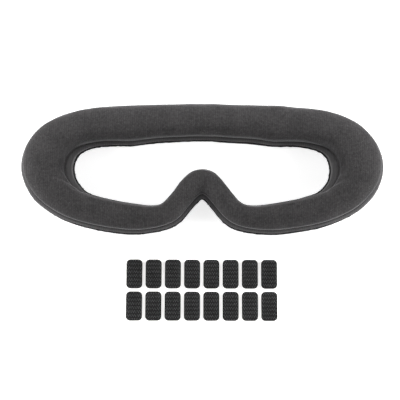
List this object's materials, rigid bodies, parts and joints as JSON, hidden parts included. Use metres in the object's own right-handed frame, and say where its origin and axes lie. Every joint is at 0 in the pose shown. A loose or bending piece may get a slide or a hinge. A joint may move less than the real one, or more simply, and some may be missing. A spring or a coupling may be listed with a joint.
{
  "type": "goggle face pad",
  "caption": "Soft padded ring with a joined pair of eye openings and a nose notch, knit over foam on loop fabric, with small self-adhesive hook tabs laid out beside it.",
  "frame": {"origin": "centre of the kit's footprint, on the surface that it lies on", "axes": "+Z up out of the pad's face side, +Y towards the pad's forehead edge (the tabs lie on the nose side, -Y), +X towards the right in a view from above with +Y up"},
  "size_m": [0.176, 0.1058, 0.0125],
  "materials": {
    "brushed_knit": "matt brushed polyester knit, charcoal",
    "foam": "open-cell polyurethane foam, dark grey",
    "hot_melt_film": "clear hot-melt film, dark between the dark foam and fabric",
    "loop_fabric": "napped loop velour, black",
    "hook_tape": "woven nylon hook tape, black",
    "adhesive": "pressure-sensitive adhesive, slightly tacky",
    "release_liner": "siliconised paper, white, faint gloss"
  },
  "bodies": {
    "pad": {"face_skin": "brushed_knit", "foam_core": "foam", "bond_film": "hot_melt_film", "loop_backing": "loop_fabric"},
    "liner_01": {"liner_01": "release_liner"},
    "tab_01": {"hook_tape_01": "hook_tape", "adhesive_01": "adhesive"},
    "liner_02": {"liner_02": "release_liner"},
    "tab_02": {"hook_tape_02": "hook_tape", "adhesive_02": "adhesive"},
    "liner_03": {"liner_03": "release_liner"},
    "tab_03": {"hook_tape_03": "hook_tape", "adhesive_03": "adhesive"},
    "liner_04": {"liner_04": "release_liner"},
    "tab_04": {"hook_tape_04": "hook_tape", "adhesive_04": "adhesive"},
    "liner_05": {"liner_05": "release_liner"},
    "tab_05": {"hook_tape_05": "hook_tape", "adhesive_05": "adhesive"},
    "liner_06": {"liner_06": "release_liner"},
    "tab_06": {"hook_tape_06": "hook_tape", "adhesive_06": "adhesive"},
    "liner_07": {"liner_07": "release_liner"},
    "tab_07": {"hook_tape_07": "hook_tape", "adhesive_07": "adhesive"},
    "liner_08": {"liner_08": "release_liner"},
    "tab_08": {"hook_tape_08": "hook_tape", "adhesive_08": "adhesive"},
    "liner_09": {"liner_09": "release_liner"},
    "tab_09": {"hook_tape_09": "hook_tape", "adhesive_09": "adhesive"},
    "liner_10": {"liner_10": "release_liner"},
    "tab_10": {"hook_tape_10": "hook_tape", "adhesive_10": "adhesive"},
    "liner_11": {"liner_11": "release_liner"},
    "tab_11": {"hook_tape_11": "hook_tape", "adhesive_11": "adhesive"},
    "liner_12": {"liner_12": "release_liner"},
    "tab_12": {"hook_tape_12": "hook_tape", "adhesive_12": "adhesive"},
    "liner_13": {"liner_13": "release_liner"},
    "tab_13": {"hook_tape_13": "hook_tape", "adhesive_13": "adhesive"},
    "liner_14": {"liner_14": "release_liner"},
    "tab_14": {"hook_tape_14": "hook_tape", "adhesive_14": "adhesive"},
    "liner_15": {"liner_15": "release_liner"},
    "tab_15": {"hook_tape_15": "hook_tape", "adhesive_15": "adhesive"},
    "liner_16": {"liner_16": "release_liner"},
    "tab_16": {"hook_tape_16": "hook_tape", "adhesive_16": "adhesive"}
  },
  "joints": [
    {"name": "lift_01", "type": "slide", "parent": "pad", "child": "liner_01", "axis": [0, 0, 1], "range_m": [0, 0.04]},
    {"name": "peel_01", "type": "slide", "parent": "liner_01", "child": "tab_01", "axis": [0, 0, 1], "range_m": [0, 0.025]},
    {"name": "lift_02", "type": "slide", "parent": "pad", "child": "liner_02", "axis": [0, 0, 1], "range_m": [0, 0.04]},
    {"name": "peel_02", "type": "slide", "parent": "liner_02", "child": "tab_02", "axis": [0, 0, 1], "range_m": [0, 0.025]},
    {"name": "lift_03", "type": "slide", "parent": "pad", "child": "liner_03", "axis": [0, 0, 1], "range_m": [0, 0.04]},
    {"name": "peel_03", "type": "slide", "parent": "liner_03", "child": "tab_03", "axis": [0, 0, 1], "range_m": [0, 0.025]},
    {"name": "lift_04", "type": "slide", "parent": "pad", "child": "liner_04", "axis": [0, 0, 1], "range_m": [0, 0.04]},
    {"name": "peel_04", "type": "slide", "parent": "liner_04", "child": "tab_04", "axis": [0, 0, 1], "range_m": [0, 0.025]},
    {"name": "lift_05", "type": "slide", "parent": "pad", "child": "liner_05", "axis": [0, 0, 1], "range_m": [0, 0.04]},
    {"name": "peel_05", "type": "slide", "parent": "liner_05", "child": "tab_05", "axis": [0, 0, 1], "range_m": [0, 0.025]},
    {"name": "lift_06", "type": "slide", "parent": "pad", "child": "liner_06", "axis": [0, 0, 1], "range_m": [0, 0.04]},
    {"name": "peel_06", "type": "slide", "parent": "liner_06", "child": "tab_06", "axis": [0, 0, 1], "range_m": [0, 0.025]},
    {"name": "lift_07", "type": "slide", "parent": "pad", "child": "liner_07", "axis": [0, 0, 1], "range_m": [0, 0.04]},
    {"name": "peel_07", "type": "slide", "parent": "liner_07", "child": "tab_07", "axis": [0, 0, 1], "range_m": [0, 0.025]},
    {"name": "lift_08", "type": "slide", "parent": "pad", "child": "liner_08", "axis": [0, 0, 1], "range_m": [0, 0.04]},
    {"name": "peel_08", "type": "slide", "parent": "liner_08", "child": "tab_08", "axis": [0, 0, 1], "range_m": [0, 0.025]},
    {"name": "lift_09", "type": "slide", "parent": "pad", "child": "liner_09", "axis": [0, 0, 1], "range_m": [0, 0.04]},
    {"name": "peel_09", "type": "slide", "parent": "liner_09", "child": "tab_09", "axis": [0, 0, 1], "range_m": [0, 0.025]},
    {"name": "lift_10", "type": "slide", "parent": "pad", "child": "liner_10", "axis": [0, 0, 1], "range_m": [0, 0.04]},
    {"name": "peel_10", "type": "slide", "parent": "liner_10", "child": "tab_10", "axis": [0, 0, 1], "range_m": [0, 0.025]},
    {"name": "lift_11", "type": "slide", "parent": "pad", "child": "liner_11", "axis": [0, 0, 1], "range_m": [0, 0.04]},
    {"name": "peel_11", "type": "slide", "parent": "liner_11", "child": "tab_11", "axis": [0, 0, 1], "range_m": [0, 0.025]},
    {"name": "lift_12", "type": "slide", "parent": "pad", "child": "liner_12", "axis": [0, 0, 1], "range_m": [0, 0.04]},
    {"name": "peel_12", "type": "slide", "parent": "liner_12", "child": "tab_12", "axis": [0, 0, 1], "range_m": [0, 0.025]},
    {"name": "lift_13", "type": "slide", "parent": "pad", "child": "liner_13", "axis": [0, 0, 1], "range_m": [0, 0.04]},
    {"name": "peel_13", "type": "slide", "parent": "liner_13", "child": "tab_13", "axis": [0, 0, 1], "range_m": [0, 0.025]},
    {"name": "lift_14", "type": "slide", "parent": "pad", "child": "liner_14", "axis": [0, 0, 1], "range_m": [0, 0.04]},
    {"name": "peel_14", "type": "slide", "parent": "liner_14", "child": "tab_14", "axis": [0, 0, 1], "range_m": [0, 0.025]},
    {"name": "lift_15", "type": "slide", "parent": "pad", "child": "liner_15", "axis": [0, 0, 1], "range_m": [0, 0.04]},
    {"name": "peel_15", "type": "slide", "parent": "liner_15", "child": "tab_15", "axis": [0, 0, 1], "range_m": [0, 0.025]},
    {"name": "lift_16", "type": "slide", "parent": "pad", "child": "liner_16", "axis": [0, 0, 1], "range_m": [0, 0.04]},
    {"name": "peel_16", "type": "slide", "parent": "liner_16", "child": "tab_16", "axis": [0, 0, 1], "range_m": [0, 0.025]}
  ]
}
